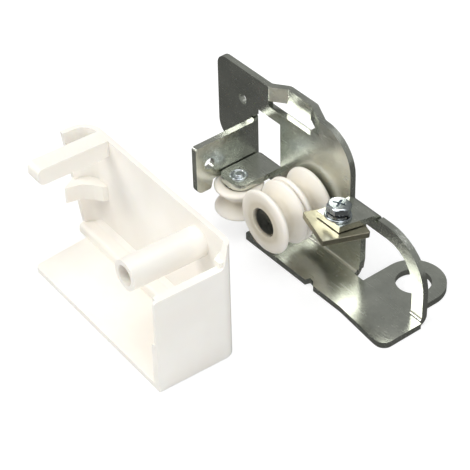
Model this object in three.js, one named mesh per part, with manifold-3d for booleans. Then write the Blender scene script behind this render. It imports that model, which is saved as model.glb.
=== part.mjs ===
// Sliding door roller: a bent sheet-steel bracket that carries two grooved nylon wheels on one axle, a
// small guide wheel on a vertical pin, an adjusting screw with its clamp plate, and a loose plastic cover.
// Millimetres, +Z up. The bracket's wall faces -Y, and the origin is under the middle of its floor.

import * as THREE from 'three';
import { mergeVertices } from 'three/addons/utils/BufferGeometryUtils.js';
import Module from 'manifold-3d';

const wasm = await Module();
wasm.setup();

// ---- driving dimensions ------------------------------------------------------------------------------

const SHEET = 2.3;                 // thickness of the bracket's steel
const BEND = 1.2;                  // inner radius of every fold
const CLEAR = 0.3;                 // gap between pieces that move on each other

const FRAME_X = 70;                // the origin, from the ear's left edge
const FRAME_Y = -8;                // the origin, from the wall's front face

const EAR = { bottom: 20, top: 53.8, corner: 4.5, lowCorner: 7, holeX: 13.6, holeZ: 41.4, holeRadius: 2.1 };
const BRIDGE = {
  left: 27.5, right: 54.3, depth: 3.9, leftRun: 5.4, rightRun: 8.5, height: 5.8, gap: 2.2, slotRight: 49.6,
};
const WALL = { right: 69.8, corner: 14, lowLeft: 33.5 };
const WINDOW = { topLeft: 19.5, left: 21.5, right: 33.8, top: 41.4, bottom: 23.2 };
const FLANGE = {
  length: 26.8, bottom: 17.3, rootBottom: 21.0, top: 36.6, corner: 2.5,
  holeY: -21.1, holeZ: 28.1, holeRadius: 2.2,
};
const GUIDE = { x: 27.9, y: -13.6, length: 18.6, leftCorner: 3.5, rightCorner: 4.5 };
const FLOOR = { right: 107, depth: 16, flare: 1.9, flareRun: 20, corner: 3.5, notchX: 65.8, notchLong: 4.2 };
const STRAP = { right: 106, top: 30.8, corner: 18, width: 5.2 };
const OPENING = { left: 75.6, heel: 74.2, heelHeight: 8 };
const LUG = { x: 89.9, y: 11.4, radius: 11.2, holeRadius: 6.2 };
const TAB = { left: 70, width: 13, length: 17.2, taper: 2.2, top: 32.7, tilt: 5 };
const SCREW = { x: 76.2, forward: 11.2 };

const AXLE = { x: 51.5, z: 21.3, radius: 3.4, headRadius: 4.8, headHeight: 1.1, tailRadius: 5 };
const WHEEL = { radius: 11.7, width: 10.5, groove: 4.6, crest: 1.1, bore: 5.1, wallGap: 1.0 };
const BUSH = { outer: 4.8, inner: 3.7 };
const GUIDE_WHEEL = { radius: 8.7, height: 11.2, groove: 3.4, crest: 0.9, top: 20.4, bore: 3.9 };
const GUIDE_PIN = { radius: 2.3, headRadius: 4.1, topRadius: 3.3, headHeight: 0.9 };

const COVER = { x: 0.6, y: -81.5, turn: -2.5, length: 75.4, depth: 30.6, height: 45.8, wall: 2.0, slant: 3.0 };
const COVER_END = { height: 37.4, wall: 3.0, corner: 4.5 };
const COVER_BOSS = { x: 58.2, z: 36.8, radius: 5.4, bore: 3.6, boreDepth: 22 };
const COVER_STEP = { depth: 8.6, height: 5.6, overhang: 6.3 };
const COVER_ARM = { width: 6.8, height: 6.4, wall: 1.5, front: 1.4 };
const COVER_WRAP = { radius: 7.8, edgeLow: 24.4, edgeHigh: 18.8 };
const COVER_LEDGE = { low: 19, high: 25.3 };

// ---- materials ---------------------------------------------------------------------------------------

const zinc = { color: 0xa8aaa4, roughness: 0.3, metalness: 1 };
const darkSteel = { color: 0x3a3c38, roughness: 0.35, metalness: 1 };
const nylon = { color: 0xf1ece2, roughness: 0.45, metalness: 0 };
const plastic = { color: 0xfaf8f2, roughness: 0.4, metalness: 0 };
const brass = { color: 0xb08d57, roughness: 0.4, metalness: 1 };

// ---- helpers -----------------------------------------------------------------------------------------

const X = new THREE.Vector3(1, 0, 0);
const Y = new THREE.Vector3(0, 1, 0);
const Z = new THREE.Vector3(0, 0, 1);

// Places a geometry drawn in u, v, w so that u and v run along the given axes from the given corner.
function place(geometry, u, v, corner) {
  const matrix = new THREE.Matrix4().makeBasis(u, v, new THREE.Vector3().crossVectors(u, v));
  matrix.setPosition(...corner);
  return geometry.applyMatrix4(matrix);
}

function solid(geometry) {
  const bare = geometry.clone();
  bare.deleteAttribute('normal');
  bare.deleteAttribute('uv');
  const merged = mergeVertices(bare, 1e-4);
  return new wasm.Manifold(new wasm.Mesh({
    numProp: 3,
    vertProperties: new Float32Array(merged.attributes.position.array),
    triVerts: new Uint32Array(merged.index.array),
  }));
}

function geometryOf(body) {
  const mesh = body.getMesh();
  const geometry = new THREE.BufferGeometry();
  geometry.setAttribute('position', new THREE.BufferAttribute(mesh.vertProperties, 3));
  geometry.setIndex(new THREE.BufferAttribute(mesh.triVerts, 1));
  return geometry;
}

function node(name, shape, finish) {
  const geometry = shape.isBufferGeometry ? shape : geometryOf(shape);
  const mesh = new THREE.Mesh(geometry, new THREE.MeshStandardMaterial(finish));
  mesh.name = name;
  return mesh;
}

function extrude(shape, depth, segments = 8) {
  return new THREE.ExtrudeGeometry(shape, { depth, bevelEnabled: false, curveSegments: segments });
}

// Flat plates between two values of the axis that they face.
function plateXZ(shape, yFront, yBack, segments) {
  return solid(place(extrude(shape, yBack - yFront, segments), X, Z, [0, yBack, 0]));
}

function plateXY(shape, zLow, zHigh, segments) {
  return solid(place(extrude(shape, zHigh - zLow, segments), X, Y, [0, 0, zLow]));
}

function plateYZ(shape, xLow, xHigh, segments) {
  return solid(place(extrude(shape, xHigh - xLow, segments), Y, Z, [xLow, 0, 0]));
}

// A polygon whose corners are given as [a, b] or, rounded, as [a, b, radius].
function outline(corners) {
  const shape = new THREE.Shape();
  const count = corners.length;
  corners.forEach(([a, b, radius = 0], i) => {
    const here = new THREE.Vector2(a, b);
    const before = new THREE.Vector2(...corners[(i + count - 1) % count].slice(0, 2)).sub(here);
    const after = new THREE.Vector2(...corners[(i + 1) % count].slice(0, 2)).sub(here);
    const half = before.angleTo(after) / 2;
    const reach = radius / Math.tan(half);
    const start = before.setLength(reach).add(here);
    const end = after.setLength(reach).add(here);
    if (i === 0) {
      shape.moveTo(start.x, start.y);
    } else {
      shape.lineTo(start.x, start.y);
    }
    if (radius > 0) {
      const bulge = 4 / 3 * Math.tan((Math.PI - 2 * half) / 4) * radius / reach;
      const first = start.clone().lerp(here, bulge);
      const second = end.clone().lerp(here, bulge);
      shape.bezierCurveTo(first.x, first.y, second.x, second.y, end.x, end.y);
    }
  });
  return shape;
}

function rectangle(a0, b0, a1, b1, radius = 0) {
  return outline([[a0, b0, radius], [a1, b0, radius], [a1, b1, radius], [a0, b1, radius]]);
}

function circle(a, b, radius) {
  const shape = new THREE.Shape();
  shape.absarc(a, b, radius, 0, Math.PI * 2);
  return shape;
}

// The section of a folded sheet: a leg along u, a bend of the given angle towards v, and a second leg.
function foldSection(legA, legB, angle) {
  const turn = THREE.MathUtils.degToRad(angle);
  const from = -Math.PI / 2;
  const centre = BEND + SHEET;
  const along = new THREE.Vector2(Math.cos(turn), Math.sin(turn)).multiplyScalar(legB);
  const outerEnd = new THREE.Vector2(Math.sin(turn), -Math.cos(turn)).multiplyScalar(centre);
  const innerEnd = new THREE.Vector2(Math.sin(turn), -Math.cos(turn)).multiplyScalar(BEND);
  const shape = new THREE.Shape();
  shape.moveTo(0, 0);
  shape.lineTo(legA, 0);
  shape.absarc(legA, centre, centre, from, from + turn, false);
  shape.lineTo(legA + outerEnd.x + along.x, centre + outerEnd.y + along.y);
  shape.lineTo(legA + innerEnd.x + along.x, centre + innerEnd.y + along.y);
  shape.lineTo(legA + innerEnd.x, centre + innerEnd.y);
  shape.absarc(legA, centre, BEND, from + turn, from, true);
  shape.lineTo(0, SHEET);
  return shape;
}

function fold(legA, legB, angle, width, u, v, corner) {
  return solid(place(extrude(foldSection(legA, legB, angle), width, 6), u, v, corner));
}

// A turned piece from [radius, height] points, closed on itself, standing on the given axis.
function turned(points, axis, corner, segments = 40) {
  const profile = [...points, points[0]].map(([radius, height]) => new THREE.Vector2(radius, height));
  const geometry = new THREE.LatheGeometry(profile, segments);
  geometry.deleteAttribute('normal');
  geometry.deleteAttribute('uv');
  const matrix = new THREE.Matrix4().makeRotationFromQuaternion(
    new THREE.Quaternion().setFromUnitVectors(Y, axis));
  matrix.setPosition(...corner);
  return mergeVertices(geometry.applyMatrix4(matrix), 1e-4);
}

function ring(inner, outer, low, high) {
  return [[inner, low], [outer, low], [outer, high], [inner, high]];
}

function pin(points) {
  return [[0, points[0][1]], ...points, [0, points.at(-1)[1]]];
}

// ---- bracket -----------------------------------------------------------------------------------------

const FOLD = SHEET + BEND;
const strapInner = STRAP.right - STRAP.width;
const slotFloor = EAR.top - BRIDGE.height - BRIDGE.gap;
const tabRight = TAB.left + TAB.width;
const tabTilt = THREE.MathUtils.degToRad(TAB.tilt);

function wallPlate() {
  const shape = outline([
    [WALL.lowLeft, FOLD],
    [STRAP.right, FOLD],
    [STRAP.right, STRAP.top, STRAP.corner],
    [tabRight + 0.6, STRAP.top],
    [tabRight + 0.6, TAB.top - FOLD],
    [WALL.right, TAB.top - FOLD],
    [WALL.right, EAR.top, WALL.corner],
    [0, EAR.top, EAR.corner],
    [0, EAR.bottom, EAR.lowCorner],
    [17.5, EAR.bottom - 1.5, 1.5],
    [24, 16, 3],
    [WALL.lowLeft, 13, 3],
  ]);
  const cuts = [
    outline([
      [BRIDGE.left, slotFloor],
      [BRIDGE.slotRight, slotFloor],
      [BRIDGE.slotRight, slotFloor + BRIDGE.gap],
      [BRIDGE.right, slotFloor + BRIDGE.gap],
      [BRIDGE.right, EAR.top + 5],
      [BRIDGE.left, EAR.top + 5],
    ]),
    rectangle(WINDOW.left - FOLD, FLANGE.rootBottom - 0.5, WINDOW.left + 0.5, FLANGE.top + 0.5),
    rectangle(WINDOW.left, WINDOW.bottom - FOLD, WINDOW.right, WINDOW.top),
    rectangle(WINDOW.topLeft, FLANGE.top, WINDOW.right, WINDOW.top),
    outline([
      [OPENING.heel, -1],
      [strapInner, -1],
      [strapInner, STRAP.top - STRAP.width, STRAP.corner - STRAP.width],
      [OPENING.left, STRAP.top - STRAP.width, 2],
      [OPENING.left, OPENING.heelHeight, 6],
    ]),
  ];
  let wall = plateXZ(shape, 0, SHEET, 10);
  for (const cut of cuts) {
    wall = wall.subtract(plateXZ(cut, -1, SHEET + 1, 6));
  }
  const earHole = plateXZ(circle(EAR.holeX, EAR.holeZ, EAR.holeRadius), -1, SHEET + 1, 10);
  const axleHole = plateXZ(circle(AXLE.x, AXLE.z, AXLE.radius + CLEAR), -1, SHEET + 1, 10);
  return wall.subtract(earHole).subtract(axleHole);
}

// The belt-loop bridge: a strip of the top edge pressed backwards between two slanted runs.
function bridge() {
  const { left, right, depth, leftRun, rightRun, height } = BRIDGE;
  const skew = 0.4;
  const strip = outline([
    [left - 1, 0],
    [left + skew, 0, 1],
    [left + leftRun + skew, depth, 2],
    [right - rightRun - skew, depth, 2],
    [right - skew, 0, 1],
    [right + 1, 0],
    [right + 1, SHEET],
    [right + skew, SHEET, 2],
    [right - rightRun + skew, depth + SHEET, 3],
    [left + leftRun - skew, depth + SHEET, 3],
    [left - skew, SHEET, 2],
    [left - 1, SHEET],
  ]);
  return plateXY(strip, EAR.top - height, EAR.top, 5);
}

// The side flange, bent forward from the window's left edge.
function sideFlange() {
  const shape = outline([
    [-FLANGE.length, FLANGE.bottom, FLANGE.corner],
    [GUIDE.y - 7.2, FLANGE.bottom, 0.8],
    [GUIDE.y - 6.2, FLANGE.rootBottom, 0.8],
    [-BEND, FLANGE.rootBottom],
    [-BEND, FLANGE.top],
    [-FLANGE.length, FLANGE.top, 1],
  ]);
  const hole = circle(FLANGE.holeY, FLANGE.holeZ, FLANGE.holeRadius);
  const height = FLANGE.top - FLANGE.rootBottom;
  const back = Y.clone().negate();
  const corner = [WINDOW.left - FOLD - 1, SHEET, FLANGE.top];
  const root = fold(1, 1, 90, height, X, back, corner);
  const plate = plateYZ(shape, WINDOW.left - SHEET, WINDOW.left, 5);
  return plate.add(root).subtract(plateYZ(hole, WINDOW.left - SHEET - 1, WINDOW.left + 1, 8));
}

// The small horizontal tab that holds the guide wheel, bent forward from the window's lower edge.
function guideTab() {
  const left = WINDOW.left + 0.5;
  const shape = outline([
    [WINDOW.right, -BEND],
    [left, -BEND],
    [left, -GUIDE.length, GUIDE.leftCorner],
    [WINDOW.right, -GUIDE.length, GUIDE.rightCorner],
  ]);
  const width = WINDOW.right - left;
  const forward = Y.clone().negate();
  const root = fold(1, 1, 90, width, Z, forward, [left, SHEET, WINDOW.bottom - FOLD - 1]);
  const hole = circle(GUIDE.x, GUIDE.y, GUIDE_PIN.radius + CLEAR);
  const plate = plateXY(shape, WINDOW.bottom - SHEET, WINDOW.bottom, 6);
  return plate.add(root).subtract(plateXY(hole, WINDOW.bottom - SHEET - 1, WINDOW.bottom + 1, 8));
}

function floorAndLug() {
  const flareStart = FLOOR.right - 3 - FLOOR.flareRun;
  const front = -FLOOR.depth;
  const shape = outline([
    [WALL.lowLeft, front, 1],
    [FLOOR.notchX, front],
    [FLOOR.notchX + 0.6, front + 1.9],
    [FLOOR.notchX + FLOOR.notchLong - 1.6, front + 1.6],
    [FLOOR.notchX + FLOOR.notchLong, front],
    [flareStart, front, 12],
    [FLOOR.right - 5, front - FLOOR.flare, 8],
    [FLOOR.right, front - FLOOR.flare, FLOOR.corner],
    [FLOOR.right, -BEND],
    [WALL.lowLeft, -BEND],
  ]);
  const lug = new THREE.Shape();
  lug.moveTo(LUG.x - LUG.radius, -BEND - 1);
  lug.lineTo(LUG.x + LUG.radius, -BEND - 1);
  lug.absarc(LUG.x, LUG.y, LUG.radius, 0, Math.PI, false);
  const hole = circle(LUG.x, LUG.y, LUG.holeRadius);
  const left = fold(1, 1, 90, OPENING.heel - WALL.lowLeft, Y, Z, [WALL.lowLeft, -BEND - 1, 0]);
  const right = fold(1, 1, 90, STRAP.width, Y, Z, [strapInner, -BEND - 1, 0]);
  const sheet = plateXY(shape, 0, SHEET, 8).add(plateXY(lug, 0, SHEET, 16));
  return sheet.subtract(plateXY(hole, -1, SHEET + 1, 16)).add(left).add(right);
}

// The screw tab, bent forward from the wall's top edge and standing a little above level.
function screwTab() {
  const angle = 90 - TAB.tilt;
  const forward = Y.clone().negate();
  const heel = [TAB.left, SHEET, TAB.top - FOLD - 1];
  const strip = fold(1, TAB.length - FOLD, angle, TAB.width, Z, forward, heel);
  const holeRadius = SCREW_PARTS.shank + 0.5;
  const drill = turned(pin([[holeRadius, -8], [holeRadius, 8]]), screwAxis, screwSeat, 24);
  const corners = plateXY(tabNose(), TAB.top - 8, TAB.top + 8, 5);
  const keep = corners.add(plateXY(rectangle(0, -2, 120, 5), 0, TAB.top + 8));
  return strip.intersect(keep).subtract(solid(drill));
}

function tabNose() {
  return outline([
    [TAB.left - 1, 2],
    [TAB.left - 1, -1],
    [TAB.left, -1],
    [TAB.left, 0.5 - TAB.length, 1.6],
    [tabRight - TAB.taper, 0.5 - TAB.length, 1.6],
    [tabRight, -BEND],
    [tabRight, 2],
  ]);
}

// ---- adjusting screw ---------------------------------------------------------------------------------

const SCREW_PARTS = {
  shank: 2.45, length: 8.4, flats: 7.6, headHeight: 2.6,
  flatWasher: 4.6, flatThick: 1.0, springWasher: 4.1, springThick: 1.5,
  plateSize: 17, plateThick: 2.2, plateTurn: -18, plateGap: 0.4, plateLeft: 0.5,
};

const screwAxis = new THREE.Vector3(0, Math.sin(tabTilt), Math.cos(tabTilt));
const tabForward = new THREE.Vector3(0, -Math.cos(tabTilt), Math.sin(tabTilt));

// The seat is where the screw's axis leaves the tab's upper face.
const bendCentre = new THREE.Vector3(SCREW.x, -BEND, TAB.top - FOLD);
const screwSeat = bendCentre.clone()
  .addScaledVector(screwAxis, FOLD)
  .addScaledVector(tabForward, SCREW.forward - BEND);

function alongScrew(distance) {
  return screwSeat.clone().addScaledVector(screwAxis, distance);
}

function adjustingScrew() {
  const p = SCREW_PARTS;
  const seat = p.flatThick + p.springThick;
  const shank = turned(pin([[p.shank, -p.length], [p.shank, seat + 1]]), Y, [0, 0, 0], 24);
  const across = p.flats / Math.cos(Math.PI / 6) / 2;
  const hexagon = turned(pin([[across, seat], [across, seat + p.headHeight]]), Y, [0, 0, 0], 6);
  const top = seat + p.headHeight;
  const dome = turned(pin([
    [across + 0.4, seat - 1], [across + 0.4, top - 1], [across - 0.9, top - 0.05], [0.5, top],
  ]), Y, [0, 0, 0], 24);
  const slot = (angle) => {
    const box = new THREE.BoxGeometry(4.6, 2.4, 0.95);
    box.rotateY(angle);
    return solid(box.translate(0, top, 0));
  };
  const head = solid(hexagon).intersect(solid(dome)).subtract(slot(0.5)).subtract(slot(0.5 + Math.PI / 2));
  return geometryOf(head.add(solid(shank)));
}

// The square clamp plate hangs on the screw's thread, turned a little away from the tab.
function clampPlate() {
  const half = SCREW_PARTS.plateSize / 2;
  const top = -SHEET - SCREW_PARTS.plateGap;
  const shape = rectangle(-half, -half, half, half, 0.8);
  const plate = extrude(shape, SCREW_PARTS.plateThick, 4);
  plate.rotateZ(THREE.MathUtils.degToRad(SCREW_PARTS.plateTurn));
  plate.translate(-SCREW_PARTS.plateLeft, 0, top - SCREW_PARTS.plateThick);
  const reach = SCREW_PARTS.shank + CLEAR;
  const bore = place(extrude(circle(0, 0, reach), 20, 12), X, Y, [0, 0, -15]);
  return geometryOf(solid(plate).subtract(solid(bore)));
}

// ---- wheels and pins ---------------------------------------------------------------------------------

// A grooved wheel: rims with a narrow crest, a V between them, and a face sunk round the bore.
function wheelProfile({ radius, width, groove, crest, bore, sink, sinkRadius }) {
  const half = width / 2;
  const root = radius - groove;
  return [
    [bore, -half + sink],
    [sinkRadius, -half + sink],
    [sinkRadius + 0.6, -half],
    [radius - 0.8, -half],
    [radius, -half + 0.5],
    [radius, -half + 0.5 + crest],
    [root + 0.5, -1.0],
    [root, 0],
    [root + 0.5, 1.0],
    [radius, half - 0.5 - crest],
    [radius, half - 0.5],
    [radius - 0.8, half],
    [sinkRadius + 0.6, half],
    [sinkRadius, half - sink],
    [bore, half - sink],
  ];
}

const wheelSink = 2.0;
const rearWheelY = -WHEEL.wallGap - WHEEL.width / 2;
const frontWheelY = rearWheelY - WHEEL.width - CLEAR;
const hubHalf = WHEEL.width / 2 - wheelSink;
const BACKWARD = Y;

function mainWheel(name, y) {
  const profile = wheelProfile({ ...WHEEL, sink: wheelSink, sinkRadius: 5.5 });
  return node(name, turned(profile, BACKWARD, [AXLE.x, y, AXLE.z], 48), nylon);
}

function mainBush(name, y) {
  const half = hubHalf + 0.1;
  return node(name, turned(ring(BUSH.inner, BUSH.outer, -half, half), BACKWARD, [AXLE.x, y, AXLE.z], 32), brass);
}

function mainAxle() {
  const headBack = frontWheelY - hubHalf - CLEAR - 0.1;
  const points = pin([
    [AXLE.headRadius - 1, headBack - AXLE.headHeight - 0.25],
    [AXLE.headRadius, headBack - AXLE.headHeight + 0.35],
    [AXLE.headRadius, headBack],
    [AXLE.radius, headBack],
    [AXLE.radius, SHEET],
    [AXLE.tailRadius, SHEET],
    [AXLE.tailRadius, SHEET + 0.8],
    [AXLE.tailRadius - 1, SHEET + 1.4],
  ]);
  return node('main_axle', turned(points, BACKWARD, [AXLE.x, 0, AXLE.z], 36), darkSteel);
}

function washer(name, inner, outer, low, high, axis, corner, finish = zinc) {
  return node(name, turned(ring(inner, outer, low, high), axis, corner, 32), finish);
}

function mainSet() {
  const spacerMiddle = (rearWheelY + frontWheelY) / 2;
  const spacerHalf = wheelSink + CLEAR / 2 - CLEAR - 0.05;
  const onAxle = [AXLE.x, 0, AXLE.z];
  const bore = AXLE.radius + CLEAR;
  const rearHub = rearWheelY + hubHalf;
  return [
    mainAxle(),
    mainWheel('front_main_roller', frontWheelY),
    mainWheel('rear_main_roller', rearWheelY),
    mainBush('front_roller_bush', frontWheelY),
    mainBush('rear_roller_bush', rearWheelY),
    washer('roller_spacer_washer', bore, 5.1, spacerMiddle - spacerHalf, spacerMiddle + spacerHalf,
      BACKWARD, onAxle),
    washer('axle_back_washer', bore, 5.1, rearHub + CLEAR + 0.1, 0, BACKWARD, onAxle),
  ];
}

function guideSet() {
  const { radius, height, groove, crest, top, bore } = GUIDE_WHEEL;
  const middle = top - height / 2;
  const sink = 0.6;
  const low = top - height;
  const at = (z) => [GUIDE.x, GUIDE.y, z];
  const profile = wheelProfile({ radius, width: height, groove, crest, bore, sink, sinkRadius: 5.2 });
  const hubLow = low + sink;
  const hubHigh = top - sink;
  const pinBottom = hubLow - CLEAR - 1.3;
  const pinPoints = pin([
    [GUIDE_PIN.headRadius - 0.7, pinBottom - 1.0],
    [GUIDE_PIN.headRadius, pinBottom - 0.6],
    [GUIDE_PIN.headRadius, pinBottom],
    [GUIDE_PIN.radius, pinBottom],
    [GUIDE_PIN.radius, WINDOW.bottom],
    [GUIDE_PIN.topRadius, WINDOW.bottom],
    [GUIDE_PIN.topRadius - 0.2, WINDOW.bottom + 0.5],
    [GUIDE_PIN.topRadius - 1.2, WINDOW.bottom + GUIDE_PIN.headHeight],
  ]);
  const inner = GUIDE_PIN.radius + CLEAR;
  return [
    node('guide_axle', turned(pinPoints, Z, at(0), 32), zinc),
    node('guide_roller', turned(profile, Z, at(middle), 40), nylon),
    node('guide_roller_bush', turned(ring(inner, bore - CLEAR, hubLow, hubHigh), Z, at(0), 28), brass),
    washer('guide_top_washer', inner, 5.0, hubHigh + CLEAR, WINDOW.bottom - SHEET, Z, at(0)),
    washer('guide_bottom_washer', inner, 4.7, pinBottom, hubLow - CLEAR, Z, at(0)),
  ];
}

function screwSet() {
  const p = SCREW_PARTS;
  const group = new THREE.Group();
  const inner = p.shank + CLEAR;
  group.position.copy(screwSeat);
  group.rotation.x = -tabTilt;
  const upright = [0, 0, 0];
  const screw = adjustingScrew();
  screw.rotateX(Math.PI / 2);
  group.add(
    node('adjusting_screw', screw, zinc),
    washer('screw_flat_washer', inner, p.flatWasher, CLEAR / 3, p.flatThick, Z, upright),
    washer('screw_spring_washer', inner, p.springWasher, p.flatThick + 0.1,
      p.flatThick + p.springThick - 0.1, Z, upright),
    node('clamp_plate', clampPlate(), zinc),
  );
  return group;
}

function bracket() {
  const body = wallPlate()
    .add(bridge())
    .add(sideFlange())
    .add(guideTab())
    .add(floorAndLug())
    .add(screwTab());
  return node('mounting_bracket', body, zinc);
}

// ---- cover -------------------------------------------------------------------------------------------

// Drawn with its own origin at the front left corner of its floor, open side towards -Y.
function cover() {
  const { length, depth, height, wall } = COVER;
  const inner = depth - wall;
  const floor = plateXY(outline([
    [0, 0, 2], [length, 0, 1], [length, depth, COVER_END.corner], [-COVER.slant, depth],
  ]), 0, wall, 5);
  const back = plateXZ(outline([
    [0, 0], [length, 0], [length, height, 5], [0, height],
  ]), inner, depth, 6);
  const outer = plateXY(outline([
    [0, 0], [length, 0], [length, depth, COVER_END.corner], [0, depth],
  ]), 0, height + 1, 6);
  const end = plateYZ(outline([
    [0, 0], [depth, 0], [depth, height], [depth - 2.4, height], [depth - 4.5, COVER_END.height, 2],
    [0, COVER_END.height, 1],
  ]), length - COVER_END.wall, length, 6);
  const cornerFill = plateXY(outline([
    [length - COVER_END.corner - 1, inner - 0.5],
    [length - COVER_END.wall - 0.5, inner - 3.5],
    [length - 1, inner - 3.5],
    [length - 1, depth - 1],
    [length - COVER_END.corner - 1, depth - 1],
  ]), 0, height - 6, 4);
  const rebate = plateYZ(outline([
    [-1, 19], [2.6, 19], [1.2, COVER_END.height + 1], [-1, COVER_END.height + 1],
  ]), length - COVER_END.wall - 1, length - 1.3, 4);
  const step = plateYZ(outline([
    [depth - COVER_STEP.depth, wall],
    [depth, wall],
    [depth, COVER_STEP.height + 1.6],
    [inner, COVER_STEP.height + 1.6, 1.4],
    [inner - 1.6, COVER_STEP.height, 1.4],
    [depth - COVER_STEP.depth, COVER_STEP.height, 1.6],
  ]), -COVER_STEP.overhang, length - 1, 5);
  const boss = turned(pin([[COVER_BOSS.radius, 0], [COVER_BOSS.radius, inner + 0.5]]), Y,
    [COVER_BOSS.x, 0.6, COVER_BOSS.z], 32);
  const bore = turned(pin([[COVER_BOSS.bore, -1], [COVER_BOSS.bore, COVER_BOSS.boreDepth]]), Y,
    [COVER_BOSS.x, 0, COVER_BOSS.z], 28);
  const body = floor.add(back).add(end).add(step).add(cornerFill).intersect(
    outer.add(plateXY(rectangle(-20, 0, 10, depth), 0, height)))
    .add(coverWrap()).add(coverArm()).add(coverLedge()).add(solid(boss))
    .subtract(solid(bore)).subtract(rebate);
  return geometryOf(body);
}

// The left end of the back wall curls forward; its free edge leans out towards the top.
function coverWrap() {
  const { depth, height, wall } = COVER;
  const { radius, edgeLow, edgeHigh } = COVER_WRAP;
  const middle = depth - radius;
  const shape = new THREE.Shape();
  shape.moveTo(0.5, depth);
  shape.absarc(0, middle, radius, Math.PI / 2, Math.PI, false);
  shape.lineTo(-radius, edgeHigh - 2);
  shape.lineTo(-radius + wall, edgeHigh - 2);
  shape.absarc(0, middle, radius - wall, Math.PI, Math.PI / 2, true);
  shape.lineTo(0.5, depth - wall);
  const low = COVER_STEP.height - 1;
  const curl = plateXY(shape, low, height, 8);
  const lean = plateYZ(outline([
    [edgeHigh - 8, low - 1],
    [edgeLow, low - 1],
    [edgeHigh, height + 1],
    [edgeHigh - 8, height + 1],
  ]), -radius - 2, 1, 4);
  return curl.subtract(lean);
}

// A channel along the top left, from the back wall to the front.
function coverArm() {
  const { depth, height } = COVER;
  const { width, height: tall, wall, front } = COVER_ARM;
  const bar = plateYZ(outline([
    [front, height - tall, 2.4], [depth - 1, height - tall], [depth - 1, height], [front, height, 2],
  ]), 0, width, 5);
  const hollow = plateYZ(outline([
    [front + wall, height - tall - 1], [depth - 3.5, height - tall - 1],
    [depth - 3.5, height - wall], [front + wall, height - wall, 1],
  ]), -1, width - wall, 4);
  return bar.subtract(hollow);
}

// The snap ledge inside the curl, under the channel; its left end is cut to a point.
function coverLedge() {
  const { depth, wall } = COVER;
  const back = depth - wall + 0.6;
  return plateXY(outline([
    [-3.5, 15.5, 0.5],
    [-7.4, 22],
    [-7, 24.5],
    [-5, 27.8],
    [-1, back],
    [4.5, back],
    [3.5, 27, 0.5],
    [0.6, 25, 2],
    [-2.2, 22, 3],
  ]), COVER_LEDGE.low, COVER_LEDGE.high, 4);
}

// ---- assembly ----------------------------------------------------------------------------------------

const group = new THREE.Group();
group.position.set(-FRAME_X, -FRAME_Y, 0);
group.add(bracket(), ...mainSet(), ...guideSet(), screwSet());

const coverGroup = new THREE.Group();
coverGroup.position.set(COVER.x, COVER.y, 0);
coverGroup.rotation.z = THREE.MathUtils.degToRad(COVER.turn);
coverGroup.add(node('cover', cover(), plastic));
group.add(coverGroup);

export default group;
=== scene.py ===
import math

import bmesh
import bpy
from mathutils import Matrix, Vector


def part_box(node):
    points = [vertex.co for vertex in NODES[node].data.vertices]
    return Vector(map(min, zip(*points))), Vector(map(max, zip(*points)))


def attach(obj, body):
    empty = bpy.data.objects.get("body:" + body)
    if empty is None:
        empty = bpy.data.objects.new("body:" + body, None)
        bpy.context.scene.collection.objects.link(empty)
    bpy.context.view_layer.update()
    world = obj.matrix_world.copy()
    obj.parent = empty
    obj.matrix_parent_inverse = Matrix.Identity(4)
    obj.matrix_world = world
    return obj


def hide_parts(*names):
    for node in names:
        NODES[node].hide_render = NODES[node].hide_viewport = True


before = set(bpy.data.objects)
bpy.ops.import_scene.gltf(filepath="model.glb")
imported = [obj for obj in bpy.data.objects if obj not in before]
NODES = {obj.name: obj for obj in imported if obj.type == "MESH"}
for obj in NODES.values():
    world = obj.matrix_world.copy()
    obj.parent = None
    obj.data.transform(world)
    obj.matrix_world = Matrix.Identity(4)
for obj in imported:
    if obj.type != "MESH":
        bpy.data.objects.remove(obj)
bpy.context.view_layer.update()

MM = 0.001


# ---- camera, light and floor ---------------------------------------------------------------------------

def place_camera():
    azimuth, elevation, roll = math.radians(52.33), math.radians(39.45), -0.0273
    distance = 602.3 * MM
    target = Vector((-20.8, -24.4, 20.0)) * MM
    back = Vector((
        math.sin(azimuth) * math.cos(elevation),
        -math.cos(azimuth) * math.cos(elevation),
        math.sin(elevation),
    ))
    level = Vector((math.cos(azimuth), math.sin(azimuth), 0))
    upright = back.cross(level)
    right = level * math.cos(roll) + upright * math.sin(roll)
    up = upright * math.cos(roll) - level * math.sin(roll)
    data = bpy.data.cameras.new("camera")
    data.sensor_width = 36
    data.lens = 138.9
    data.clip_start = 0.05
    data.clip_end = 20
    camera = bpy.data.objects.new("camera", data)
    turn = Matrix((right, up, back)).transposed().to_4x4()
    camera.matrix_world = Matrix.Translation(target + back * distance) @ turn
    bpy.context.scene.collection.objects.link(camera)
    bpy.context.scene.camera = camera


def softbox(name, place, aim, width, depth, power, tint):
    data = bpy.data.lights.new(name, "AREA")
    data.shape = "RECTANGLE"
    data.size = width
    data.size_y = depth
    data.energy = power
    data.color = tint
    light = bpy.data.objects.new(name, data)
    here = Vector(place)
    light.rotation_mode = "QUATERNION"
    light.location = here
    light.rotation_quaternion = (Vector(aim) - here).to_track_quat("-Z", "Y")
    bpy.context.scene.collection.objects.link(light)


# ---- materials -----------------------------------------------------------------------------------------

def linear(code):
    """An sRGB hex colour as linear RGBA."""
    channels = [int(code[i:i + 2], 16) / 255 for i in (1, 3, 5)]
    return [c / 12.92 if c <= 0.04045 else ((c + 0.055) / 1.055) ** 2.4 for c in channels] + [1.0]


def add(tree, kind, inputs=(), **settings):
    """Adds a node. An input's value is a number, a colour, or another node's output to link."""
    node = tree.nodes.new(kind)
    for name, value in settings.items():
        setattr(node, name, value)
    for key, value in dict(inputs).items():
        if isinstance(value, bpy.types.NodeSocket):
            tree.links.new(value, node.inputs[key])
        else:
            node.inputs[key].default_value = value
    return node


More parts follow.
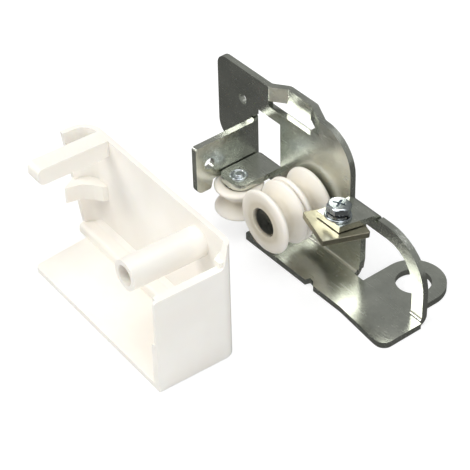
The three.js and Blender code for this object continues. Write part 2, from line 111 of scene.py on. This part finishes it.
def blank(name):
    material = bpy.data.materials.new(name)
    material.use_nodes = True
    tree = material.node_tree
    tree.nodes.clear()
    return material, tree


def close(tree, shader):
    add(tree, "ShaderNodeOutputMaterial", {"Surface": shader.outputs[0]})


def per_mm(size):
    """The noise scale that gives features of a size in millimetres on Object coordinates."""
    return 1 / (size * MM)


def ramp(tree, factor, stops):
    node = add(tree, "ShaderNodeValToRGB", {"Fac": factor})
    elements = node.color_ramp.elements
    while len(elements) < len(stops):
        elements.new(0.5)
    for element, (position, code) in zip(elements, stops):
        element.position = position
        element.color = linear(code)
    return node.outputs["Color"]


def bright_zinc(name, dull, mid, bright, roughness, wave_depth):
    """Zinc electroplate, clear passivated, on cold-rolled sheet: a soft mirror with cloudy patches."""
    material, tree = blank(name)
    place = add(tree, "ShaderNodeTexCoord").outputs["Object"]
    cloud = add(tree, "ShaderNodeTexNoise", {
        "Vector": place, "Scale": per_mm(11), "Detail": 4.0, "Roughness": 0.6})
    colour = ramp(tree, cloud.outputs["Fac"], [(0.3, dull), (0.5, mid), (0.72, bright)])
    # Rolling lines are a few hundredths of a millimetre apart, drawn at 0.4 mm so that they show.
    rolled = add(tree, "ShaderNodeMapping", {
        "Vector": place, "Scale": (0.05, 1.0, 1.0)})
    lines = add(tree, "ShaderNodeTexNoise", {
        "Vector": rolled.outputs[0], "Scale": per_mm(0.4), "Detail": 3.0})
    patches = add(tree, "ShaderNodeTexNoise", {
        "Vector": place, "Scale": per_mm(3.2), "Detail": 5.0, "Roughness": 0.7})
    mixed = add(tree, "ShaderNodeMath", {0: lines.outputs["Fac"], 1: patches.outputs["Fac"]})
    rough = add(tree, "ShaderNodeMapRange", {
        "Value": mixed.outputs[0], "From Min": 0.75, "From Max": 1.3,
        "To Min": roughness - 0.03, "To Max": roughness + 0.06})
    waves = add(tree, "ShaderNodeTexNoise", {
        "Vector": place, "Scale": per_mm(8), "Detail": 2.0})
    wavy = add(tree, "ShaderNodeBump", {
        "Height": waves.outputs["Fac"], "Strength": 0.5, "Distance": wave_depth * MM})
    fine = add(tree, "ShaderNodeBump", {
        "Height": lines.outputs["Fac"], "Strength": 0.1, "Distance": 0.02 * MM,
        "Normal": wavy.outputs[0]})
    close(tree, add(tree, "ShaderNodeBsdfPrincipled", {
        "Base Color": colour, "Metallic": 1.0, "Roughness": rough.outputs[0],
        "Normal": fine.outputs[0]}))
    return material


def sheared_edge():
    """The cut edges of the same sheet: torn bright by the die, with streaks through the thickness."""
    material, tree = blank("sheared_zinc_edge")
    place = add(tree, "ShaderNodeTexCoord").outputs["Object"]
    streaks = add(tree, "ShaderNodeTexNoise", {
        "Vector": place, "Scale": per_mm(1.2), "Detail": 4.0})
    colour = ramp(tree, streaks.outputs["Fac"], [(0.3, "#b9b7ab"), (0.6, "#e6e4d8")])
    dents = add(tree, "ShaderNodeBump", {
        "Height": streaks.outputs["Fac"], "Strength": 0.4, "Distance": 0.05 * MM})
    close(tree, add(tree, "ShaderNodeBsdfPrincipled", {
        "Base Color": colour, "Metallic": 1.0, "Roughness": 0.34, "Normal": dents.outputs[0]}))
    return material


def moulded_nylon(name, centre, axis, root, rim):
    """Natural nylon 6, injection moulded: milky, faintly translucent, with painted shade that darkens it in
    towards the groove root and the hub.
    """
    material, tree = blank(name)
    place = add(tree, "ShaderNodeTexCoord").outputs["Object"]
    flat = [0.0 if axis[i] else 1.0 for i in range(3)]
    centred = add(tree, "ShaderNodeMapping", {
        "Vector": place, "Location": [-c * f for c, f in zip(centre, flat)], "Scale": flat})
    reach = add(tree, "ShaderNodeVectorMath", {0: centred.outputs[0]}, operation="LENGTH")
    # Painted shade: the colour darkens from the rim in towards the groove root and over the sunk hub face, by
    # distance from the axis.
    painted_groove_shade = add(tree, "ShaderNodeMapRange", {
        "Value": reach.outputs["Value"], "From Min": root, "From Max": rim})
    cloud = add(tree, "ShaderNodeTexNoise", {
        "Vector": place, "Scale": per_mm(5), "Detail": 4.0})
    mottle_and_painted_shade = add(tree, "ShaderNodeMath", {
        0: cloud.outputs["Fac"], 1: 0.3, 2: painted_groove_shade.outputs[0]}, operation="MULTIPLY_ADD")
    colour = ramp(tree, mottle_and_painted_shade.outputs[0], [
        (0.1, "#d2cab8"), (0.45, "#e8e2d6"), (0.95, "#f3eee6")])
    skin = add(tree, "ShaderNodeTexNoise", {
        "Vector": place, "Scale": per_mm(0.5), "Detail": 3.0})
    grain = add(tree, "ShaderNodeBump", {
        "Height": skin.outputs["Fac"], "Strength": 0.15, "Distance": 0.03 * MM})
    close(tree, add(tree, "ShaderNodeBsdfPrincipled", {
        "Base Color": colour, "Roughness": 0.42, "IOR": 1.53, "Normal": grain.outputs[0],
        "Subsurface Weight": 0.25, "Subsurface Radius": (1.0, 0.85, 0.6),
        "Subsurface Scale": 1.2 * MM}))
    return material


def moulded_abs():
    """White ABS, injection moulded: an even satin gloss over a faint spark-eroded texture."""
    material, tree = blank("white_moulded_abs")
    place = add(tree, "ShaderNodeTexCoord").outputs["Object"]
    cloud = add(tree, "ShaderNodeTexNoise", {
        "Vector": place, "Scale": per_mm(22), "Detail": 3.0})
    colour = ramp(tree, cloud.outputs["Fac"], [(0.3, "#f5f0e9"), (0.7, "#fbf8f2")])
    # The real texture is about 0.1 mm, drawn at 0.6 mm so that it shows.
    grit = add(tree, "ShaderNodeTexNoise", {
        "Vector": place, "Scale": per_mm(0.6), "Detail": 3.0})
    rough = add(tree, "ShaderNodeMapRange", {
        "Value": grit.outputs["Fac"], "From Min": 0.3, "From Max": 0.7,
        "To Min": 0.3, "To Max": 0.42})
    sink = add(tree, "ShaderNodeTexNoise", {
        "Vector": place, "Scale": per_mm(14), "Detail": 1.0})
    warped = add(tree, "ShaderNodeBump", {
        "Height": sink.outputs["Fac"], "Strength": 0.4, "Distance": 0.12 * MM})
    skin = add(tree, "ShaderNodeBump", {
        "Height": grit.outputs["Fac"], "Strength": 0.15, "Distance": 0.03 * MM,
        "Normal": warped.outputs[0]})
    close(tree, add(tree, "ShaderNodeBsdfPrincipled", {
        "Base Color": colour, "Roughness": rough.outputs[0], "IOR": 1.54,
        "Normal": skin.outputs[0],
        "Subsurface Weight": 0.15, "Subsurface Radius": (1.0, 0.8, 0.55),
        "Subsurface Scale": 1.5 * MM}))
    return material


def mottled_metal(name, dark, light, grain, roughness):
    """A bare or treated metal whose colour and gloss vary over patches of one size."""
    material, tree = blank(name)
    place = add(tree, "ShaderNodeTexCoord").outputs["Object"]
    patches = add(tree, "ShaderNodeTexNoise", {
        "Vector": place, "Scale": per_mm(grain), "Detail": 5.0, "Roughness": 0.65})
    colour = ramp(tree, patches.outputs["Fac"], [(0.35, dark), (0.65, light)])
    rough = add(tree, "ShaderNodeMapRange", {
        "Value": patches.outputs["Fac"], "From Min": 0.3, "From Max": 0.7,
        "To Min": roughness - 0.08, "To Max": roughness + 0.1})
    pits = add(tree, "ShaderNodeBump", {
        "Height": patches.outputs["Fac"], "Strength": 0.35, "Distance": 0.04 * MM})
    close(tree, add(tree, "ShaderNodeBsdfPrincipled", {
        "Base Color": colour, "Metallic": 1.0, "Roughness": rough.outputs[0],
        "Normal": pits.outputs[0]}))
    return material


def floor_material():
    """White paper under the object. Polished metal sees it darker, as card that the light doesn't reach."""
    material, tree = blank("studio_floor")
    path = add(tree, "ShaderNodeLightPath")
    paper = add(tree, "ShaderNodeBsdfDiffuse", {"Color": linear("#f4f4f6")})
    glow = add(tree, "ShaderNodeEmission", {"Color": linear("#ffffff"), "Strength": 1.3})
    lit = add(tree, "ShaderNodeMixShader", {0: 0.52, 1: paper.outputs[0], 2: glow.outputs[0]})
    shade = add(tree, "ShaderNodeEmission", {"Color": linear("#5f5f5d"), "Strength": 1.0})
    bounced = add(tree, "ShaderNodeMixShader", {
        0: path.outputs["Is Glossy Ray"], 1: paper.outputs[0], 2: shade.outputs[0]})
    seen = add(tree, "ShaderNodeMixShader", {
        0: path.outputs["Is Camera Ray"], 1: bounced.outputs[0], 2: lit.outputs[0]})
    close(tree, seen)
    return material


# ---- mesh helpers --------------------------------------------------------------------------------------

def show(name, mesh, body, materials, replaced=(), crease=35):
    """Links a finished piece and hands it to the frame, smooth up to its creases if it has a crease angle."""
    piece = bpy.data.objects.new(name, mesh)
    bpy.context.scene.collection.objects.link(piece)
    for material in materials:
        mesh.materials.append(material)
    if crease:
        mesh.shade_smooth()
        mesh.set_sharp_from_angle(angle=math.radians(crease))
    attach(piece, body)
    if replaced:
        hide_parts(*replaced)
    return piece


def rounded(points, steps=5):
    """A profile of (radius, height, fillet) corners as a list of (radius, height) points."""
    path = []
    for i, (r, h, fillet) in enumerate(points):
        here = Vector((r, h))
        if not fillet or i in (0, len(points) - 1):
            path.append((r, h))
            continue
        before = (Vector(points[i - 1][:2]) - here)
        after = (Vector(points[i + 1][:2]) - here)
        start = here + before.normalized() * min(fillet, before.length * 0.49)
        end = here + after.normalized() * min(fillet, after.length * 0.49)
        for k in range(steps + 1):
            t = k / steps
            spot = start * (1 - t) ** 2 + here * 2 * t * (1 - t) + end * t ** 2
            path.append((spot.x, spot.y))
    return path


def revolve(profile, frame_of, segments, looped, shape=lambda r, h, a: (r, h)):
    """A turned mesh. A looped profile closes on itself, and shape changes the radius and height by angle."""
    form = bmesh.new()
    rows = []
    for r, h in profile:
        if r < 1e-6:
            rows.append([form.verts.new(frame_of @ Vector((0, 0, shape(0, h, 0)[1] * MM)))])
            continue
        row = []
        for k in range(segments):
            a = 2 * math.pi * k / segments
            reach, height = shape(r, h, a)
            row.append(form.verts.new(frame_of @ Vector((
                reach * MM * math.cos(a), reach * MM * math.sin(a), height * MM))))
        rows.append(row)
    pairs = list(zip(rows, rows[1:]))
    if looped:
        pairs.append((rows[-1], rows[0]))
    for low, high in pairs:
        for k in range(segments):
            n = (k + 1) % segments
            corners = [low[k % len(low)], low[n % len(low)], high[n % len(high)], high[k % len(high)]]
            form.faces.new(list(dict.fromkeys(corners)))
    bmesh.ops.recalc_face_normals(form, faces=form.faces)
    mesh = bpy.data.meshes.new("turned")
    form.to_mesh(mesh)
    form.free()
    return mesh


def centre_of(node):
    low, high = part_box(node)
    return (Vector(low) + Vector(high)) / 2


def size_of(node):
    low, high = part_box(node)
    return Vector(high) - Vector(low)


UPRIGHT = Matrix.Identity(4)
ACROSS = Matrix.Rotation(math.radians(-90), 4, "X")      # height runs along +Y


def standing(node, turn):
    return Matrix.Translation(centre_of(node)) @ turn


def sheet_copy(node, edge, segments):
    """A merged copy of a CAD mesh with its sharp corners rounded; the new faces take the second slot."""
    mesh = NODES[node].data.copy()
    mesh.materials.clear()
    form = bmesh.new()
    form.from_mesh(mesh)
    bmesh.ops.remove_doubles(form, verts=form.verts, dist=1e-6)
    bmesh.ops.dissolve_limit(
        form, angle_limit=math.radians(0.5), verts=form.verts, edges=form.edges)
    form.to_mesh(mesh)
    form.free()
    mesh.shade_smooth()
    carrier = bpy.data.objects.new("carrier", mesh)
    bpy.context.scene.collection.objects.link(carrier)
    bevel = carrier.modifiers.new("bevel", "BEVEL")
    bevel.width = edge * MM
    bevel.segments = segments
    bevel.limit_method = "ANGLE"
    bevel.angle_limit = math.radians(38)
    bevel.miter_outer = "MITER_ARC"
    bevel.use_clamp_overlap = True
    bevel.material = 1
    flatten = carrier.modifiers.new("flatten", "WEIGHTED_NORMAL")
    flatten.mode = "FACE_AREA"
    flatten.weight = 100
    graph = bpy.context.evaluated_depsgraph_get()
    result = bpy.data.meshes.new_from_object(carrier.evaluated_get(graph))
    bpy.data.objects.remove(carrier)
    return result


# ---- the pieces ----------------------------------------------------------------------------------------

MAIN_WHEEL = {"groove": 4.6, "crest": 1.1, "bore": 5.1, "sunk": 5.3, "sunk_depth": 2.0}
GUIDE_WHEEL = {"groove": 3.4, "crest": 0.9, "bore": 3.9, "sunk": 5.2, "sunk_depth": 0.6}
AXLE_BORE = 3.7
GUIDE_BORE = 2.6


def grooved_wheel(name, body, turn, axis, sizes):
    """A V-groove wheel with round rims and a sunk hub face on both sides."""
    size = size_of(name)
    width = size[axis.index(1)] / MM
    radius = max(size) / 2 / MM
    half = width / 2
    root = radius - sizes["groove"]
    bore, crest = sizes["bore"], sizes["crest"]
    sunk, depth = sizes["sunk"], sizes["sunk_depth"]
    side = [
        (bore, half - depth, 0.25),
        (sunk, half - depth, 0.2),
        (sunk + 0.12, half, 0.1),
        (radius - 0.8, half, 0.9),
        (radius, half - 0.6, 0.7),
        (radius, half - 0.5 - crest, 0.7),
        (root + 0.5, 1.0, 0.8),
        (root, 0, 0.5),
    ]
    lower = [(r, -h, fillet) for r, h, fillet in side]
    path = rounded(lower[:-1] + side[::-1])
    mesh = revolve(path, standing(name, turn), 144, True)
    nylon = moulded_nylon(
        f"moulded_nylon_{name}", centre_of(name), axis, root * MM, radius * MM)
    show(name + "_turned", mesh, body, [nylon], [name])


def turned_piece(name, node, body, turn, points, material, segments=96, looped=False):
    mesh = revolve(rounded(points), standing(node, turn), segments, looped)
    show(name, mesh, body, [material], [node])


def main_axle(material):
    """The shoulder rivet, its head slightly domed with a chamfered rim."""
    half = size_of("main_axle").y / MM / 2
    turned_piece("main_axle_rivet", "main_axle", "bracket", ACROSS, [
        (0, -half, 0), (3.2, -half, 1.0), (4.3, -half + 0.3, 0.4), (4.8, -half + 0.7, 0.3),
        (4.8, -half + 1.35, 0.15), (3.4, -half + 1.35, 0.1), (3.4, half - 1.4, 0.1),
        (5.0, half - 1.4, 0.15), (5.0, half - 0.6, 0.3), (4.0, half, 0.6), (0, half, 0),
    ], material)


def guide_axle(material):
    """The guide wheel's rivet: a spun head with a raised rim, a groove and a button in the middle."""
    half = size_of("guide_axle").z / MM / 2
    top = half - 0.9
    turned_piece("guide_axle_rivet", "guide_axle", "bracket", UPRIGHT, [
        (0, -half, 0), (3.4, -half, 0.5), (4.1, -half + 0.45, 0.3), (4.1, -half + 1.0, 0.1),
        (2.3, -half + 1.0, 0.1), (2.3, top, 0.05), (3.3, top, 0.15), (3.1, top + 0.5, 0.25),
        (2.5, top + 0.55, 0.15), (2.2, top + 0.2, 0.1), (1.7, top + 0.2, 0.1),
        (1.4, half, 0.3), (0, half, 0),
    ], material)


def plain_ring(node, body, turn, inner, material):
    size = size_of(node)
    thin = min(size) / MM / 2
    outer = max(size) / MM / 2
    edge = min(0.25, thin * 0.4)
    turned_piece(node + "_ring", node, body, turn, [
        (inner, -thin, 0), (outer - edge, -thin, 0), (outer, -thin + edge, 0),
        (outer, thin - edge, 0), (outer - edge, thin, 0), (inner, thin, 0),
    ], material, 80, True)


# ---- the screw and its washers ------------------------------------------------------------------------

SEAT_TO_HEAD = 2.5               # the two washers under the head
HEAD_TOP = 5.1
HALF_FLATS = 3.8
THREAD = {"outer": 2.45, "root": 2.05, "end": -8.4, "pitch": 0.8}
RECESS = {"turn": 0.5, "arm": 2.2, "half": 0.42, "depth": 1.1, "wall": 0.18}
TILT = math.radians(5)
WASHER_BORE = 2.75
FLAT_WASHER = {"low": 0.1, "high": 1.0, "outer": 4.6}
SPRING_WASHER = {"start": 1.6, "middle": 3.42, "width": 1.3, "height": 0.98, "rise": 0.28, "turns": 0.97}


def screw_place():
    """The screw's own frame, its origin on the tab's upper face."""
    axis = Vector((0, math.sin(TILT), math.cos(TILT)))
    middle = (FLAT_WASHER["low"] + FLAT_WASHER["high"]) / 2
    seat = centre_of("screw_flat_washer") - axis * middle * MM
    return Matrix.Translation(seat) @ Matrix.Rotation(-TILT, 4, "X")


def head_shape(r, h, a):
    """Cuts a round row down to the hexagon, and sinks the top row inside the cross."""
    if h < SEAT_TO_HEAD:
        return r, h
    reach = min(r, HALF_FLATS / math.cos(a % (math.pi / 3) - math.pi / 6))
    if h < HEAD_TOP:
        return reach, h
    u = abs(reach * math.cos(a - RECESS["turn"]))
    v = abs(reach * math.sin(a - RECESS["turn"]))
    outside = min(
        max(u - RECESS["arm"], v - RECESS["half"]), max(v - RECESS["arm"], u - RECESS["half"]))
    return reach, h - RECESS["depth"] * max(0, min(1, -outside / RECESS["wall"]))


def screw_body(place):
    """A chamfered hexagon head with a cross recess, on a shank at the thread's root radius."""
    root, end = THREAD["root"], THREAD["end"]
    top = [(3.4 - 0.08 * k, HEAD_TOP) for k in range(42)]
    profile = [
        (0, end), (root - 0.35, end), (root, end + 0.5), (root, SEAT_TO_HEAD), (3.6, SEAT_TO_HEAD),
        (3.8, SEAT_TO_HEAD + 0.06), (4.6, SEAT_TO_HEAD + 0.2), (4.6, HEAD_TOP - 0.95),
        (4.15, HEAD_TOP - 0.5), (3.75, HEAD_TOP - 0.2), (3.5, HEAD_TOP - 0.06),
    ] + top + [(0, HEAD_TOP)]
    return revolve(profile, place, 144, False, head_shape)


def coil_tree():
    """Geometry Nodes: a band of rectangular section swept along a helix."""
    tree = bpy.data.node_groups.new("coil", "GeometryNodeTree")
    for name in ("Turns", "Radius", "Rise", "Width", "Height"):
        tree.interface.new_socket(name, in_out="INPUT", socket_type="NodeSocketFloat")
    tree.interface.new_socket("Material", in_out="INPUT", socket_type="NodeSocketMaterial")
    tree.interface.new_socket("Geometry", in_out="OUTPUT", socket_type="NodeSocketGeometry")
    given = add(tree, "NodeGroupInput").outputs
    helix = add(tree, "GeometryNodeCurveSpiral", {
        "Resolution": 64, "Rotations": given["Turns"], "Start Radius": given["Radius"],
        "End Radius": given["Radius"], "Height": given["Rise"]})
    upright = add(tree, "GeometryNodeSetCurveNormal", {"Curve": helix.outputs[0]}, mode="Z_UP")
    section = add(tree, "GeometryNodeCurvePrimitiveQuadrilateral", {
        "Width": given["Width"], "Height": given["Height"]})
    band = add(tree, "GeometryNodeCurveToMesh", {
        "Curve": upright.outputs[0], "Profile Curve": section.outputs[0], "Fill Caps": True})
    whole = add(tree, "GeometryNodeRealizeInstances", {"Geometry": band.outputs[0]})
    painted = add(tree, "GeometryNodeSetMaterial", {
        "Geometry": whole.outputs[0], "Material": given["Material"]})
    add(tree, "NodeGroupOutput", {"Geometry": painted.outputs[0]})
    return tree


def coil(tree, place, low, values):
    """The mesh of one coil that starts at a height along the screw, in the frame's own coordinates."""
    holder = bpy.data.objects.new("coil", bpy.data.meshes.new("coil"))
    bpy.context.scene.collection.objects.link(holder)
    modifier = holder.modifiers.new("coil", "NODES")
    modifier.node_group = tree
    for item in tree.interface.items_tree:
        if item.name in values:
            modifier[item.identifier] = values[item.name]
    graph = bpy.context.evaluated_depsgraph_get()
    mesh = bpy.data.meshes.new_from_object(holder.evaluated_get(graph))
    holder.modifiers.remove(modifier)
    bpy.data.objects.remove(holder)
    mesh.transform(place @ Matrix.Translation((0, 0, low * MM)))
    return mesh


def screw_set(material):
    place = screw_place()
    tree = coil_tree()
    show("adjusting_screw_turned", screw_body(place), "screw", [material],
         ["adjusting_screw"], 25)
    depth = THREAD["outer"] - THREAD["root"]
    turns = 10.0
    show("adjusting_screw_thread", coil(tree, place, THREAD["end"] + 0.35, {
        "Turns": turns, "Radius": (THREAD["root"] + depth / 2) * MM, "Width": depth * MM,
        "Rise": turns * THREAD["pitch"] * MM, "Height": 0.4 * MM, "Material": material,
    }), "screw", [])
    show("screw_spring_washer_split", coil(tree, place, SPRING_WASHER["start"], {
        "Turns": SPRING_WASHER["turns"], "Radius": SPRING_WASHER["middle"] * MM,
        "Width": SPRING_WASHER["width"] * MM, "Rise": SPRING_WASHER["rise"] * MM,
        "Height": SPRING_WASHER["height"] * MM, "Material": material,
    }), "screw", [], ["screw_spring_washer"])
    low, high, outer = FLAT_WASHER["low"], FLAT_WASHER["high"], FLAT_WASHER["outer"]
    ring = revolve(rounded([
        (WASHER_BORE, low, 0), (outer - 0.1, low, 0.1), (outer, low + 0.2, 0.15),
        (outer, high - 0.2, 0.2), (outer - 0.2, high, 0.1), (WASHER_BORE, high, 0),
    ]), place, 96, True)
    show("screw_flat_washer_turned", ring, "bracket", [material], ["screw_flat_washer"])


# ---- building ------------------------------------------------------------------------------------------

place_camera()

floor = bpy.data.meshes.new("studio_floor")
floor.from_pydata(
    [(-6, -6, -0.0002), (6, -6, -0.0002), (6, 6, -0.0002), (-6, 6, -0.0002)], [], [(0, 1, 2, 3)])
floor_object = bpy.data.objects.new("studio_floor", floor)
floor.materials.append(floor_material())
bpy.context.scene.collection.objects.link(floor_object)

softbox("key", (-0.5, -0.75, 0.8), (0, 0, 0.02), 0.7, 0.5, 7.0, (1.0, 0.985, 0.95))
softbox("top", (0.1, 0.0, 1.0), (0, 0, 0), 0.9, 0.7, 5.0, (1.0, 1.0, 1.0))
softbox("side", (0.9, -0.25, 0.5), (0, 0, 0.02), 0.5, 0.5, 3, (0.96, 0.98, 1.0))

world = bpy.data.worlds.new("studio")
world.use_nodes = True
world.node_tree.nodes["Background"].inputs["Color"].default_value = linear("#cfd0cc")
world.node_tree.nodes["Background"].inputs["Strength"].default_value = 0.45
bpy.context.scene.world = world
bpy.context.scene.view_settings.view_transform = "Standard"

zinc = bright_zinc("bright_zinc_on_rolled_steel", "#c4c7c0", "#d3d6ce", "#e2e4dc", 0.23, 0.03)
plate_zinc = bright_zinc("bright_zinc_on_pressed_plate", "#a8a593", "#bbb59f", "#cdc8b6", 0.3, 0.02)
screw_zinc = bright_zinc("blue_zinc_on_screw", "#a2a9ae", "#bcc3c8", "#d4d9dc", 0.2, 0.02)
edge_zinc = sheared_edge()
axle_steel = mottled_metal("phosphated_steel", "#4a4c47", "#6d6f69", 2.5, 0.34)
bearing_bronze = mottled_metal("sintered_bronze", "#8a6a3c", "#b48e58", 1.2, 0.45)
white_abs = moulded_abs()

show("mounting_bracket_sheet", sheet_copy("mounting_bracket", 0.22, 2), "bracket",
     [zinc, edge_zinc], ["mounting_bracket"], 0)
show("clamp_plate_sheet", sheet_copy("clamp_plate", 0.2, 2), "plate",
     [plate_zinc, edge_zinc], ["clamp_plate"], 0)
show("cover_shell", sheet_copy("cover", 0.35, 3), "cover",
     [white_abs, white_abs], ["cover"], 0)

for wheel, body in (("front_main_roller", "front_wheel"), ("rear_main_roller", "rear_wheel")):
    grooved_wheel(wheel, body, ACROSS, (0, 1, 0), MAIN_WHEEL)
grooved_wheel("guide_roller", "guide_wheel", UPRIGHT, (0, 0, 1), GUIDE_WHEEL)

main_axle(axle_steel)
guide_axle(screw_zinc)

RINGS = [
    ("front_roller_bush", "front_wheel", "brass", ACROSS, AXLE_BORE, bearing_bronze),
    ("rear_roller_bush", "rear_wheel", "brass", ACROSS, AXLE_BORE, bearing_bronze),
    ("guide_roller_bush", "guide_wheel", "brass", UPRIGHT, GUIDE_BORE, bearing_bronze),
    ("axle_back_washer", "bracket", "bright_zinc", ACROSS, AXLE_BORE, screw_zinc),
    ("roller_spacer_washer", "bracket", "bright_zinc", ACROSS, AXLE_BORE, screw_zinc),
    ("guide_top_washer", "bracket", "bright_zinc", UPRIGHT, GUIDE_BORE, screw_zinc),
    ("guide_bottom_washer", "bracket", "bright_zinc", UPRIGHT, GUIDE_BORE, screw_zinc),
]
for node, body, slot, turn, inner, material in RINGS:
    if "bush" in node:
        NODES[node].data.materials.clear()
        NODES[node].data.materials.append(material)
    else:
        plain_ring(node, body, turn, inner, material)
screw_set(screw_zinc)
